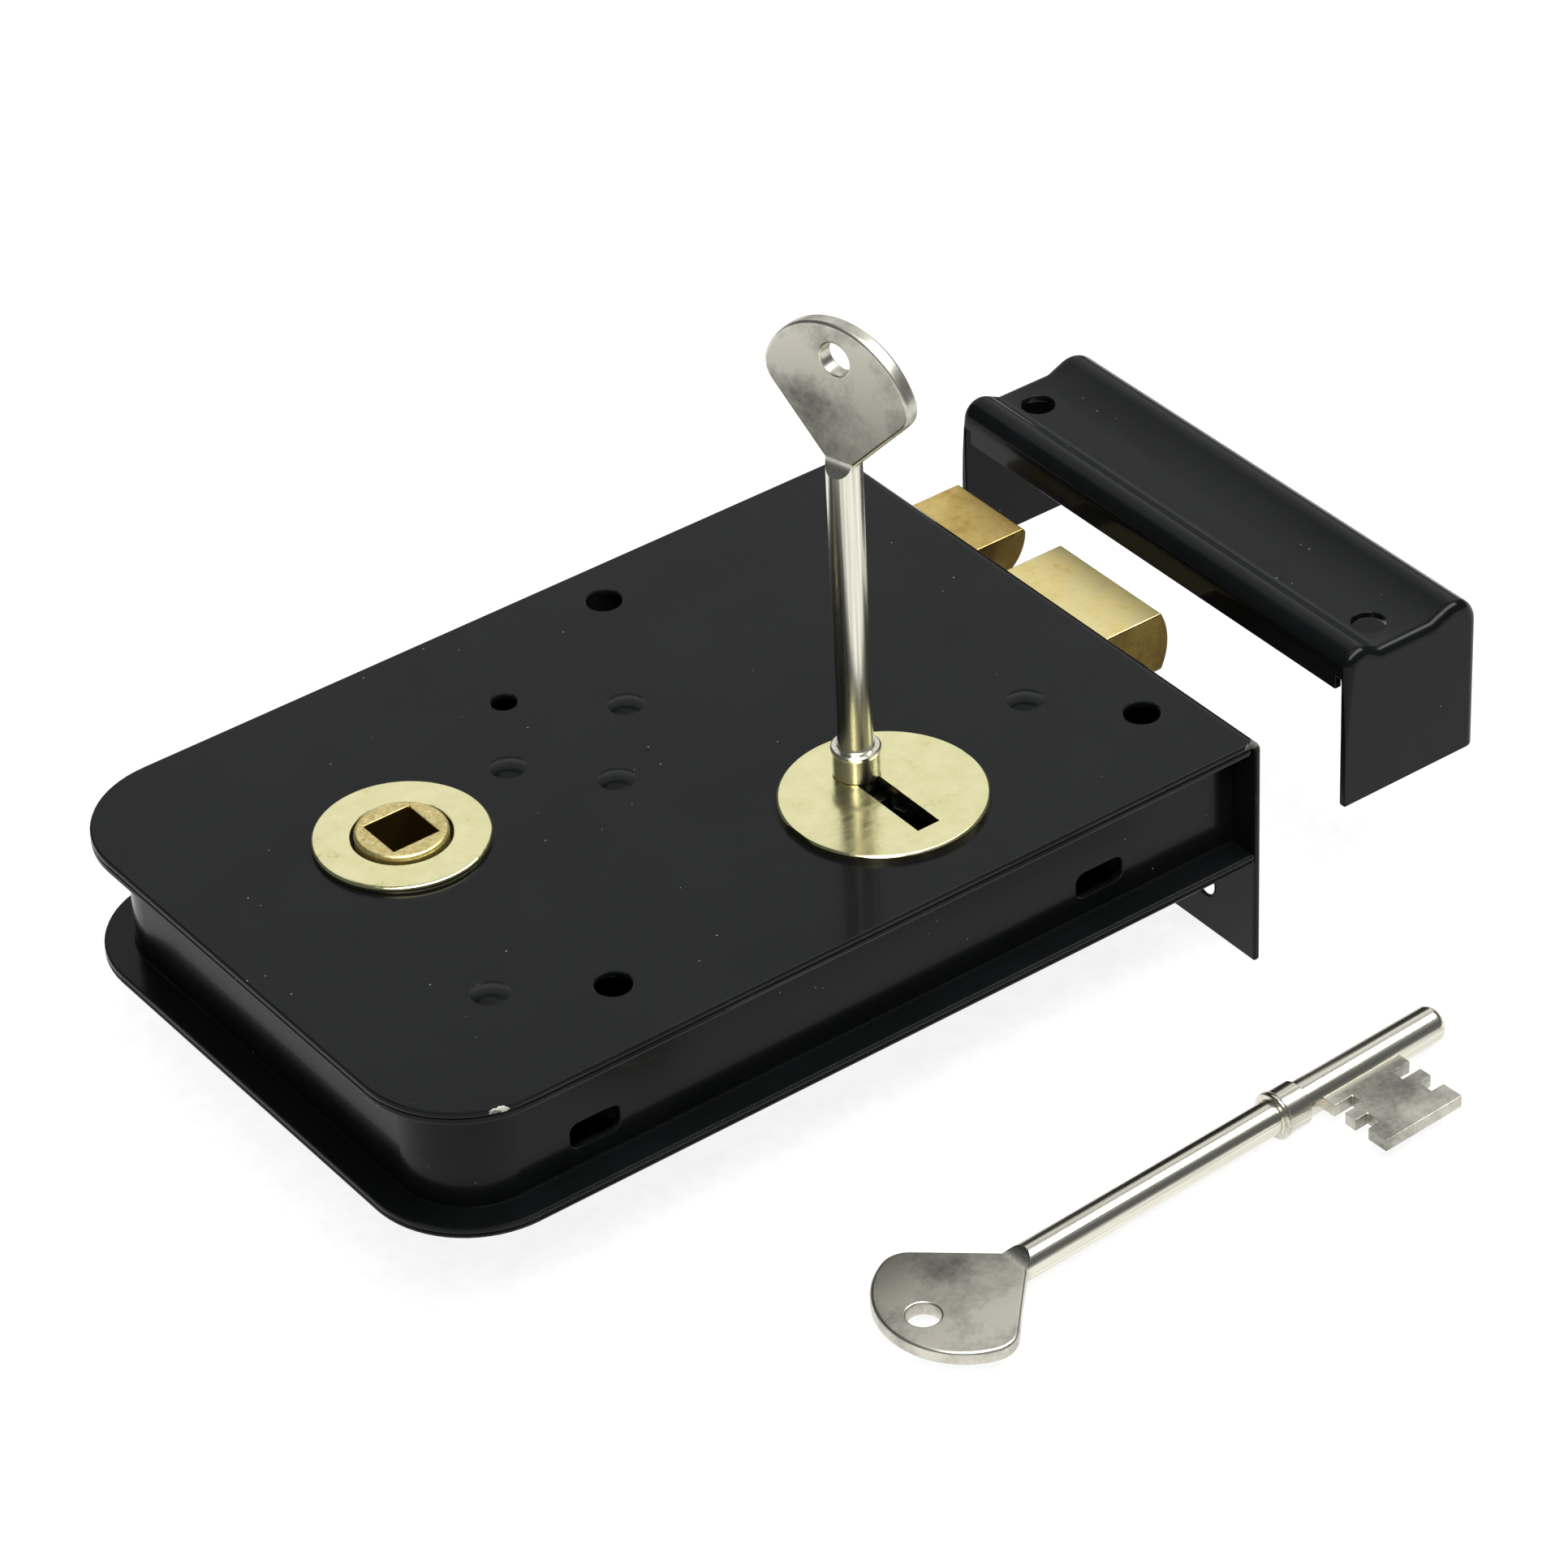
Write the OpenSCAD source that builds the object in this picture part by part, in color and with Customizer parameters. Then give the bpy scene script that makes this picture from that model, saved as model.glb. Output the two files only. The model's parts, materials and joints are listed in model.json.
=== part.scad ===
// Rim box lock: sheet steel case, sprung latch bolt, thrown dead bolt, key in the lock,
// box keep for the door frame and a spare key.
// Origin on the spindle axis at the door face, +X towards the keep, +Z out of the door.

/* [Case] */
// Length of the face plate along the bolts
case_len = 151; // [150:1:154]
// Height of the face plate across the bolts
case_height = 103; // [103:1:105]
// Depth from the door face to the outside of the face plate
case_depth = 23; // [23:0.5:24]
// Spindle axis to the outside of the forend
backset = 114; // [113.5:0.5:115]
// Spindle axis to the upper long edge
spindle_drop = 40.8; // [40.5:0.1:41.2]
// Outside radius of the two rounded corners
corner_r = 17; // [15:1:18]
// Thickness of the face plate and the rim wall
sheet = 1.1; // [1:0.1:1.2]
// Thickness of the back plate
back_t = 0.8; // [0.8:0.1:1]
// Set-in of the rim wall from the outline of the plates
wall_inset = 4.9; // [4.5:0.1:5.2]
// Depth of the forend flange below the door face
forend_drop = 18.75; // [16:0.25:20]
// Radius of the holes for the fixing screws
screw_hole_r = 2.8; // [2.5:0.1:2.8]

/* [Bolts] */
// Thickness of both bolt heads
bolt_t = 10.6; // [10:0.1:10.8]
// Width of the latch bolt
latch_w = 17; // [16:0.5:17]
// Width of the dead bolt
dead_w = 25.2; // [24.2:0.5:25.2]
// How far the latch bolt stands out of the forend
latch_out = 14.2; // [13:0.1:14.5]
// How far the edge of the dead bolt stands out of the forend
dead_out = 15.3; // [14:0.1:15.5]
// How far the dead bolt's nose bulges past its edges
nose_bulge = 1.35; // [1:0.05:1.6]
// Turn of the follower that draws the latch in, in degrees
follower_turn = 40; // [30:1:40]

/* [Follower] */
// Side of the square hole, for an 8 mm spindle
square_hole = 8.1; // [8.1:0.1:8.3]
// Radius of the follower's boss in the face
boss_r = 7.18; // [7:0.02:7.4]
// Length of the follower's arms from the axis
arm_len = 21; // [20:0.5:21]

/* [Key] */
// Radius of the key's shank
shank_r = 2.75; // [2.6:0.05:2.8]
// Radius of the pin below the collar
pin_r = 3.05; // [2.9:0.05:3.1]
// Radius of the collar
collar_r = 3.65; // [3.6:0.05:3.8]
// Height of the collar
collar_h = 5.2; // [5:0.1:6]
// Underside of the collar to the neck of the bow
neck_z = 56.2; // [54:0.1:58]
// Length of the pin below the collar
pin_len = 29; // [28:0.5:30]
// Reach of the bit from the key's axis
bit_r = 16.4; // [15.8:0.1:16.4]
// Thickness of the bit
bit_t = 2.2; // [2:0.1:2.6]
// Thickness of the bow
bow_t = 2.5; // [2.2:0.1:2.8]
// How far the key is turned past the slot as the lock lies, in degrees
key_turn = 14.5; // [0:0.5:20]

/* [Keep] */
// Length of the keep
keep_len = 95.2; // [95:0.1:96]
// Width of the keep's foot
keep_w = 26.9; // [26.5:0.1:27.5]
// Height of the keep's ridges above the frame
keep_h = 28; // [27.8:0.1:28.4]
// Thickness of the keep's sheet
keep_t = 1.3; // [1.2:0.1:1.4]
// Distance of the keep's screw holes from its ends
keep_hole_in = 7.1; // [6.5:0.1:8]

/* [Hidden] */
$fn = 72;

// finishes
BLACK = "#2b2d2d";
BRASS = "#c8b573";
DULL_BRASS = "#a8925a";
STEEL = "#8f9294";
NICKEL = "#b9b8b2";

// limits of the case
x_fore = backset;
x_in = x_fore - sheet;
x_left = backset - case_len;
y_high = spindle_drop;
y_low = spindle_drop - case_height;
bend_r = 2;
z_plate = case_depth - sheet;
run_gap = 0.08;

// the middle plane of both bolts, and the levels that their tails share
z_bolt = 11.65;
z_bolt_low = z_bolt - bolt_t / 2;
tail_t = 4;
rail_t = 3.5;
slide_gap = 0.25;

// latch bolt, its rail and the yoke round the follower
latch_y = 12.5;
pull_r = 20;
latch_travel = round(10 * pull_r * follower_turn * PI / 180) / 10;
latch_stay = 0.9;
latch_back = x_in - latch_travel - latch_stay;
lap_len = 7.5;
latch_rivet_in = [2, 5.4];
rail_y = 22.5;
rail_w = 5.8;
latch_rivet_at = [for (d = latch_rivet_in) [latch_back + d, rail_y + rail_w / 2]];
hub_r = 9;
hub_low_r = 6;
hub_gap = 2.4;
yoke_bar_w = 4.2;
yoke_bar_x = -hub_r - hub_gap - yoke_bar_w;
yoke_corner_r = 3.5;
lug_reach = 14;
lug_w = 5;
arm_w = 4.4;
arm_gap = 0.3;

// dead bolt, its tail, the stump and what the key pushes
dead_y = -20.1;
dead_inside = 13;
dead_back = x_fore - dead_inside;
dead_rivet_at = [[dead_back + 4, -15], [dead_back + 4, -4]];
tail_back = 36;
tail_y = dead_y + 0.1;
tail_w = 21;
dead_travel = dead_out + nose_bulge + 1;
stump = [77, -5.5];
stump_r = 2;
rivet_r = 1.5;
pin_fit = 0.03;

// the key's axis and the slot below it
key_axis = [61.2, -31.2];
hole_r = pin_r + 0.35;
slot_w = 4.06;
slot_end = 17.6;
esc_t = 1.2;
z_esc = case_depth + esc_t;
key_esc = [61.1, -37.9];
key_esc_r = 16;
tab_flat = 0.32;
spindle_esc_r = 13.6;
spindle_esc_hole = 7.76;

// bit: level of its upper edge below the collar, width, and its ward notches
bit_top = -2.6;
bit_h = 15.6;
inner_notch = [5.4, 7.6, 3.7];
outer_notch = [9.9, 12.5, 2.5];
ward_r = [5.9, 7.1];

// rivets and holes of the face plate, measured from the spindle axis
post_r = 3.5;
neck_r = 2;
head_r = 2.95;
head_h = 0.7;
spacer_at = [[22.6, 5], [x_fore - 20.8, -31.4], [-11, -39]];
lever_pivot = [33.5, -8];
lever_pivot_r = 3.2;
spring_post_at = [45.9, 7];
spring_post_r = 3;
small_hole_at = [31.8, 19.4];
screw_at = [[59.6, 32], [3.9, -48.6], [x_fore - 9.4, -45.4]];

// levers: thickness, levels, outline round the pivot and the gate, and the leaf on the upper edge
lever_t = 2;
lever_z = [10.6, 13];
belly_r = bit_r + 0.4;
lever_end_x = 82.5;
lever_top_y = 4.5;
lever_low_y = -17.5;
lever_toe_x = 70;
lever_step = [[55, 1.5], [58.5, lever_top_y]];
heel_r = 6.5;
heel_low = [44, -14.2];
heel_top_y = -1.7;
pocket_w = [5, 5.4];
pocket_h = [4.5, 5.8];
leaf_t = 0.4;
leaf_x = [68, 57.5, 50, 43];

// slots in the long walls and screw holes in the forend flange
wall_slot_x = [x_left + 30.5, x_fore - 27.5];
wall_slot = [8.6, 4.2];
wall_slot_z = 5.2;
tongue_len = 4;
tongue_turn = 50;
forend_screw_y = [-50.3, 28.9];
forend_screw_z = -10;
forend_screw_r = 2.4;

// latch spring
coil_y = 17;
coil_r = 3.6;
wire_r = 0.55;
coil_turns = 9;
anchor_x = 60;
anchor_t = 1.5;
anchor_h = 16;
anchor_half_w = 4.8;
anchor_foot = 7;
spigot_r = 2.4;
spigot_len = 5.5;

// keep
keep_at = [132.8, -60];
keep_hole_r = 2.7;
keep_hole_x = 10.6;
keep_lip_z = 20.9;
keep_front_z = 23.4;
channel_z = keep_h - 1.6;
channel_x = [7.4, 17.6];
front_ridge_r = 3.4;
front_ridge_end = 60;
rear_ridge_r = 4.6;
rear_ridge_start = 118;

// spare key on the ground that the forend flange touches
spare_at = [92.4, -96.1];
spare_turn = 3.04;
lip_r = collar_r + 0.2;

function arc(c, r, a0, a1, n) =
    [for (i = [0:n]) let (a = a0 + (a1 - a0) * i / n) c + r * [cos(a), sin(a)]];

// Outline of the lock, set in by inset and ending at x_end on the forend side
module outline(inset, x_end) {
    r = corner_r - inset;
    x0 = x_left + inset;
    y0 = y_low + inset;
    y1 = y_high - inset;
    translate([x0 + r, y0]) square([x_end - x0 - r, y1 - y0]);
    translate([x0, y0 + r]) square([2 * r, y1 - y0 - 2 * r]);
    for (y = [y0 + r, y1 - r])
        translate([x0 + r, y]) circle(r);
}

// Round hole for the pin with the slot for the bit below it
module keyhole(z, h) {
    translate([key_axis.x, key_axis.y, z]) cylinder(r = hole_r, h = h);
    translate([key_axis.x - slot_w / 2, key_axis.y - slot_end, z]) cube([slot_w, slot_end, h]);
}

module post_holes(z, h) {
    for (p = concat(spacer_at, [lever_pivot, spring_post_at]))
        translate([p.x, p.y, z]) cylinder(r = neck_r + 0.05, h = h);
}

module screw_holes(z, h) {
    for (p = screw_at)
        translate([p.x, p.y, z]) cylinder(r = screw_hole_r, h = h);
}

module forend_bend() {
    translate([x_fore - bend_r, y_low, case_depth - bend_r]) intersection() {
        rotate([-90, 0, 0]) difference() {
            cylinder(r = bend_r, h = case_height);
            translate([0, 0, -1]) cylinder(r = bend_r - sheet, h = case_height + 2);
        }
        translate([0, -1, 0]) cube([bend_r + 1, case_height + 2, bend_r + 1]);
    }
}

// Screw hole in the forend flange, countersunk from the side of the door's edge
module forend_screw(y) {
    straight = 0.3;
    sink = sheet - straight + 0.1;
    translate([x_in - 1, y, forend_screw_z]) rotate([0, 90, 0]) {
        cylinder(r = forend_screw_r, h = sheet + 2);
        translate([0, 0, 1 + straight]) cylinder(r1 = forend_screw_r, r2 = forend_screw_r + sink, h = sink);
    }
}

module bolt_window(y, w) {
    translate([x_in - 1, y - slide_gap, z_bolt_low - slide_gap])
        cube([sheet + 2, w + 2 * slide_gap, bolt_t + 2 * slide_gap]);
}

module face_plate() {
    cut = sheet + 2;
    color(BLACK) difference() {
        union() {
            translate([0, 0, z_plate]) linear_extrude(sheet) outline(0, x_fore - bend_r);
            forend_bend();
            translate([x_in, y_low, -forend_drop])
                cube([sheet, case_height, case_depth - bend_r + forend_drop]);
        }
        translate([0, 0, z_plate - 1]) cylinder(r = boss_r + run_gap, h = cut);
        keyhole(z_plate - 1, cut);
        post_holes(z_plate - 1, cut);
        screw_holes(z_plate - 1, cut);
        translate([small_hole_at.x, small_hole_at.y, z_plate - 1]) cylinder(r = 2, h = cut);
        bolt_window(latch_y, latch_w);
        bolt_window(dead_y, dead_w);
        for (y = forend_screw_y)
            forend_screw(y);
    }
}

// Slot with its two rear corners rounded, cut through the wall whose near face is at y
module wall_slot_cut(x, y) {
    r = 1.4;
    translate([x, y - 1, wall_slot_z]) {
        translate([r - wall_slot.x / 2, 0, 0]) cube([wall_slot.x - r, sheet + 2, wall_slot.y]);
        translate([-wall_slot.x / 2, 0, r]) cube([2 * r, sheet + 2, wall_slot.y - 2 * r]);
        for (z = [r, wall_slot.y - r])
            translate([r - wall_slot.x / 2, 0, z]) rotate([-90, 0, 0]) cylinder(r = r, h = sheet + 2);
    }
}

// Tongue left from the slot's metal, bent inwards at the forend end of the slot; side is 1 on
// the lower long wall and -1 on the upper one
module wall_tongue(x, y, side) {
    root = 1;
    translate([x + wall_slot.x / 2 + root, y + 0.05 * side, wall_slot_z + 0.4]) mirror([0, side < 0 ? 1 : 0, 0])
        rotate([0, 0, 180 - tongue_turn]) translate([0, -sheet, 0])
            cube([tongue_len, sheet, wall_slot.y - 0.8]);
}

module rim_wall() {
    y_inner_low = y_low + wall_inset + sheet;
    y_inner_high = y_high - wall_inset - sheet;
    color(BLACK) {
        difference() {
            union() {
                translate([0, 0, back_t]) linear_extrude(z_plate - sheet - back_t) difference() {
                    outline(wall_inset, x_in);
                    outline(wall_inset + sheet, x_in + 1);
                }
                translate([0, 0, back_t]) linear_extrude(sheet - 0.1) difference() {
                    outline(0, x_in);
                    outline(wall_inset + sheet, x_in + 1);
                }
                translate([0, 0, z_plate - sheet]) linear_extrude(sheet) difference() {
                    outline(0, x_fore - bend_r);
                    outline(wall_inset + sheet, x_in + 1);
                }
            }
            for (x = wall_slot_x) {
                wall_slot_cut(x, y_inner_low - sheet);
                wall_slot_cut(x, y_inner_high);
            }
        }
        for (x = wall_slot_x) {
            wall_tongue(x, y_inner_low - sheet, 1);
            wall_tongue(x, y_inner_high + sheet, -1);
        }
    }
}

module back_plate() {
    cut = back_t + 2;
    color(BLACK) difference() {
        linear_extrude(back_t) outline(0, x_in);
        translate([0, 0, -1]) cylinder(r = hub_low_r + run_gap, h = cut);
        keyhole(-1, cut);
        post_holes(-1, cut);
        screw_holes(-1, cut);
    }
}

module spindle_escutcheon() {
    color(BRASS) translate([0, 0, case_depth]) difference() {
        union() {
            cylinder(r = spindle_esc_r, h = esc_t - 0.4);
            translate([0, 0, esc_t - 0.4])
                cylinder(r1 = spindle_esc_r, r2 = spindle_esc_r - 0.3, h = 0.3);
        }
        translate([0, 0, -1]) cylinder(r = spindle_esc_hole, h = esc_t + 2);
    }
}

// Round plate, with a flat on each side where it was cropped from its strip
module key_escutcheon() {
    color(BRASS) difference() {
        translate([key_esc.x, key_esc.y, case_depth]) {
            cylinder(r = key_esc_r, h = esc_t - 0.3);
            translate([0, 0, esc_t - 0.3]) cylinder(r1 = key_esc_r, r2 = key_esc_r - 0.3, h = 0.3);
        }
        for (side = [0, 1])
            translate([key_esc.x, key_esc.y, case_depth]) mirror([side, 0, 0])
                translate([key_esc_r - tab_flat, -key_esc_r / 2, -1]) cube([1, key_esc_r, esc_t + 2]);
        keyhole(case_depth - 1, esc_t + 2);
    }
}

// Post between the plates, riveted over at both ends with a low round head on the face
module post(p, r) {
    dome_r = (head_r * head_r + head_h * head_h) / (2 * head_h);
    translate([p.x, p.y, 0]) {
        cylinder(r = neck_r, h = case_depth);
        translate([0, 0, back_t]) cylinder(r = r, h = z_plate - back_t);
        translate([0, 0, case_depth]) intersection() {
            cylinder(r = head_r, h = head_h + 1);
            translate([0, 0, head_h - dome_r]) sphere(r = dome_r);
        }
    }
}

module spacer_posts() {
    color(STEEL) for (p = spacer_at)
        post(p, post_r);
}

module lever_post() {
    shoulder_z = lever_z[1] + lever_t + 0.3;
    color(STEEL) {
        post(lever_pivot, lever_pivot_r);
        translate([lever_pivot.x, lever_pivot.y, shoulder_z])
            cylinder(r = lever_pivot_r + 1.4, h = z_plate - shoulder_z);
    }
}

module spring_post() {
    color(STEEL) post(spring_post_at, spring_post_r);
}

// Ring that the key's notches pass round, cut open where the bit goes in
module ward(z, h) {
    translate([key_axis.x, key_axis.y, z]) difference() {
        cylinder(r = ward_r[1], h = h);
        translate([0, 0, -1]) cylinder(r = ward_r[0], h = h + 2);
        translate([-slot_w / 2 - 0.3, -ward_r[1] - 1, -1]) cube([slot_w + 0.6, ward_r[1] + 1, h + 2]);
    }
}

module front_ward() {
    z = z_esc + bit_top - inner_notch[2] + 0.4;
    color(STEEL) ward(z, z_plate - z);
}

module back_ward() {
    z = z_esc + bit_top - bit_h + inner_notch[2] - 0.4;
    color(STEEL) ward(back_t, z - back_t);
}

// Block on the back plate with a window for the latch's rail
module latch_guide() {
    wall = 2.2;
    x0 = 30;
    guide_len = 7;
    color(STEEL) difference() {
        translate([x0, rail_y - wall - slide_gap, back_t])
            cube([guide_len, rail_w + 2 * wall + 2 * slide_gap, z_bolt_low + rail_t + 1.8 - back_t]);
        translate([x0 - 1, rail_y - slide_gap, z_bolt_low - slide_gap])
            cube([guide_len + 2, rail_w + 2 * slide_gap, rail_t + 2 * slide_gap]);
    }
}

module spigot(x, len) {
    translate([x, coil_y, z_bolt]) rotate([0, 90, 0]) cylinder(r = spigot_r, h = len);
}

// Bracket on the back plate that the latch spring pushes against
module spring_anchor() {
    foot_t = 1.2;
    lap = 0.1;
    color(STEEL) translate([0, coil_y - anchor_half_w, back_t]) {
        translate([anchor_x, 0, 0]) cube([anchor_t, 2 * anchor_half_w, anchor_h]);
        translate([anchor_x - anchor_foot, 0, 0]) cube([anchor_foot + lap, 2 * anchor_half_w, foot_t]);
    }
    color(STEEL) spigot(anchor_x + anchor_t - lap, spigot_len);
}

// Coil spring along X between the anchor and the latch bolt
module latch_spring() {
    sides = 8;
    per_turn = 16;
    x0 = anchor_x + anchor_t + wire_r + 0.05;
    x1 = latch_back - wire_r - 0.05;
    n = coil_turns * per_turn;
    rings = [for (i = [0:n]) let (a = 360 * i / per_turn, x = x0 + (x1 - x0) * i / n)
        for (k = [0:sides - 1]) let (b = 360 * k / sides, r = coil_r + wire_r * cos(b))
            [x + wire_r * sin(b), coil_y + r * cos(a), z_bolt + r * sin(a)]];
    walls = [for (i = [0:n - 1], k = [0:sides - 1])
        let (j = i * sides + k, m = i * sides + (k + 1) % sides)
            [j, j + sides, m + sides, m]];
    caps = [[for (k = [0:sides - 1]) k], [for (k = [sides - 1:-1:0]) n * sides + k]];
    color(STEEL) polyhedron(rings, concat(walls, caps), convexity = 6);
}

// Head with a curved bevel on the door side, so that the keep pushes it in as the door shuts
module latch_bolt() {
    tip = x_fore + latch_out;
    round_r = 7.5;
    z_top = z_bolt_low + bolt_t;
    bevel_foot = 7;
    nose = arc([tip - round_r, z_top - 0.75], round_r, -48, 0, 12);
    profile = concat([[latch_back, z_top], [latch_back, z_bolt_low], [tip - bevel_foot, z_bolt_low]],
        nose, [[tip - 0.5, z_top]]);
    color(DULL_BRASS) difference() {
        union() {
            translate([0, latch_y + latch_w, 0]) rotate([90, 0, 0]) linear_extrude(latch_w)
                polygon(profile);
            spigot(latch_back - 6, 6.5);
        }
        translate([latch_back - 1, rail_y - 0.1, z_bolt_low - 1])
            cube([lap_len + 1.1, rail_w + 0.2, rail_t + 1.05]);
        rivet_holes(latch_rivet_at, z_bolt_low - 1, bolt_t + 2);
    }
}

module rivet_holes(list, z, h) {
    for (p = list)
        translate([p.x, p.y, z]) cylinder(r = rivet_r - 0.3 + pin_fit, h = h);
}

module rivets(list) {
    for (p = list)
        translate([p.x, p.y, z_bolt_low]) cylinder(r = rivet_r - 0.3, h = bolt_t);
}

// Rail behind the latch bolt, with a yoke whose lugs the follower's arms pull
module latch_yoke() {
    bar_end = lug_reach + lug_w + 2;
    lug_x = -arm_w / 2 - arm_gap;
    color(STEEL) translate([0, 0, z_bolt_low]) difference() {
        union() {
            translate([yoke_bar_x + yoke_corner_r, rail_y, 0])
                cube([latch_back + lap_len - yoke_bar_x - yoke_corner_r, rail_w, rail_t]);
            translate([yoke_bar_x + yoke_corner_r, rail_y + rail_w - yoke_corner_r, 0])
                cylinder(r = yoke_corner_r, h = rail_t);
            translate([yoke_bar_x, -bar_end, 0])
                cube([yoke_bar_w, bar_end + rail_y + rail_w - yoke_corner_r, rail_t]);
            for (y = [lug_reach, -lug_reach - lug_w])
                translate([yoke_bar_x, y, 0]) cube([lug_x - yoke_bar_x, lug_w, rail_t]);
        }
        rivet_holes(latch_rivet_at, -1, rail_t + 2);
    }
}

module latch_rivets() {
    color(BRASS) rivets(latch_rivet_at);
}

// Hub turned by the spindle, with two arms inside the yoke
module follower() {
    boss_top = case_depth + 2;
    color(DULL_BRASS) difference() {
        union() {
            cylinder(r = hub_low_r, h = z_bolt_low + 1);
            translate([0, 0, z_bolt_low]) cylinder(r = hub_r, h = z_plate - 0.3 - z_bolt_low);
            translate([0, 0, z_plate - 1]) cylinder(r = boss_r, h = boss_top - z_plate + 0.6);
            translate([0, 0, boss_top - 0.4]) cylinder(r1 = boss_r, r2 = boss_r - 0.35, h = 0.4);
            translate([-arm_w / 2, -arm_len, z_bolt_low]) cube([arm_w, 2 * arm_len, rail_t]);
        }
        translate([-square_hole / 2, -square_hole / 2, -1])
            cube([square_hole, square_hole, boss_top + 2]);
    }
}

// Head of the dead bolt, its nose a shallow arc from top to bottom
module dead_bolt() {
    edge_x = x_fore + dead_out;
    half = bolt_t / 2;
    nose_r = (half * half + nose_bulge * nose_bulge) / (2 * nose_bulge);
    a = asin(half / nose_r);
    nose = arc([edge_x + nose_bulge - nose_r, z_bolt], nose_r, -a, a, 16);
    profile = concat([[dead_back, z_bolt + half], [dead_back, z_bolt - half]], nose);
    color(DULL_BRASS) difference() {
        translate([0, dead_y + dead_w, 0]) rotate([90, 0, 0]) linear_extrude(dead_w) polygon(profile);
        translate([dead_back - 1, dead_y - 1, z_bolt_low - 1])
            cube([lap_len + 1.1, tail_w + 1.2, tail_t + 1.05]);
        rivet_holes(dead_rivet_at, z_bolt_low - 1, bolt_t + 2);
    }
}

// Tail plate: forked over the lever post, hollowed where the key's bit pushes it
module bolt_tail() {
    fork_half = lever_pivot_r + 0.3;
    fork_end = lever_pivot.x + dead_travel + fork_half;
    bite = 5.8;
    bite_half = 11.4;
    bite_r = (bite_half * bite_half + bite * bite) / (2 * bite);
    bite_x = key_axis.x + dead_travel / 2 - 0.8;
    color(STEEL) translate([0, 0, z_bolt_low]) difference() {
        translate([tail_back, tail_y, 0]) cube([dead_back + lap_len - tail_back, tail_w, tail_t]);
        translate([tail_back - 1, lever_pivot.y - fork_half, -1])
            cube([fork_end - fork_half - tail_back + 1, 2 * fork_half, tail_t + 2]);
        translate([fork_end - fork_half, lever_pivot.y, -1]) cylinder(r = fork_half, h = tail_t + 2);
        translate([bite_x, tail_y + bite - bite_r, -1]) cylinder(r = bite_r, h = tail_t + 2);
        translate([stump.x, stump.y, -1]) cylinder(r = stump_r - 0.5 + pin_fit, h = tail_t + 2);
        rivet_holes(dead_rivet_at, -1, tail_t + 2);
    }
}

module bolt_stump() {
    top = lever_z[1] + lever_t + 0.5;
    color(BRASS) translate([stump.x, stump.y, z_bolt_low]) {
        cylinder(r = stump_r - 0.5, h = tail_t);
        translate([0, 0, tail_t]) cylinder(r = stump_r, h = top - z_bolt_low - tail_t);
    }
}

module bolt_rivets() {
    color(BRASS) rivets(dead_rivet_at);
}

// Lever in its raised place: the stump runs along the gate, and a pocket at each end of the
// gate takes the stump when the lever drops
module lever(z, belly) {
    gate_half = stump_r + 0.3;
    gate_x0 = stump.x - dead_travel - stump_r - 0.5;
    gate_x1 = stump.x + stump_r + 0.7;
    translate([0, 0, z]) difference() {
        linear_extrude(lever_t) difference() {
            union() {
                translate(lever_pivot) circle(r = heel_r);
                polygon([[lever_pivot.x, heel_low.y], heel_low, [lever_toe_x, lever_low_y],
                    [lever_end_x, lever_low_y], [lever_end_x, lever_top_y], lever_step[1],
                    lever_step[0], [lever_pivot.x, heel_top_y]]);
            }
            translate(key_axis) circle(r = belly);
            translate([gate_x0, stump.y - gate_half]) square([gate_x1 - gate_x0, 2 * gate_half]);
            translate([gate_x1 - pocket_w[1], stump.y]) square([pocket_w[1], pocket_h[1]]);
            translate([gate_x0, stump.y]) square([pocket_w[0], pocket_h[0]]);
        }
        translate([lever_pivot.x, lever_pivot.y, -1])
            cylinder(r = lever_pivot_r + 0.06, h = lever_t + 2);
    }
}

// Leaf on the lever's upper edge that bears on the spring post and pushes the lever down
module lever_spring(z) {
    y_edge = lever_top_y;
    y_post = spring_post_at.y - spring_post_r - 0.03;
    y_end = y_post - leaf_t / 2;
    translate([0, 0, z + 0.2]) linear_extrude(lever_t - 0.4)
        polygon([[leaf_x[0], y_edge], [leaf_x[0], y_edge + leaf_t], [leaf_x[1], y_edge + leaf_t],
            [leaf_x[2], y_post], [leaf_x[3], y_end], [leaf_x[3], y_end - leaf_t],
            [leaf_x[2], y_post - leaf_t], [leaf_x[1] + 0.3, y_edge]]);
}

module lever_1() {
    color(BRASS) lever(lever_z[0], belly_r);
}

module lever_2() {
    color(BRASS) lever(lever_z[1], belly_r + 0.5);
}

module lever_spring_1() {
    color(STEEL) lever_spring(lever_z[0]);
}

module lever_spring_2() {
    color(STEEL) lever_spring(lever_z[1]);
}

// Flat of the bow: two straight flanks at 45 degrees from the neck, round shoulders, round top
module bow_outline() {
    neck_half = 2.6;
    top_r = 13.9;
    top_u = 9;
    side_r = 4.5;
    a = neck_half - side_r * sqrt(2);
    span = top_r - side_r;
    side_u = (top_u - a + sqrt((a - top_u) * (a - top_u) - 2 * (a * a + top_u * top_u - span * span))) / 2;
    side_v = side_u + a;
    meet = atan2(side_u - top_u, side_v);
    polygon(concat([[-neck_half, -2.5], [neck_half, -2.5], [neck_half, 0]],
        arc([side_v, side_u], side_r, -45, meet, 8),
        arc([0, top_u], top_r, meet, 180 - meet, 32),
        arc([-side_v, side_u], side_r, 180 - meet, 225, 8),
        [[-neck_half, 0]]));
}

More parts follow.
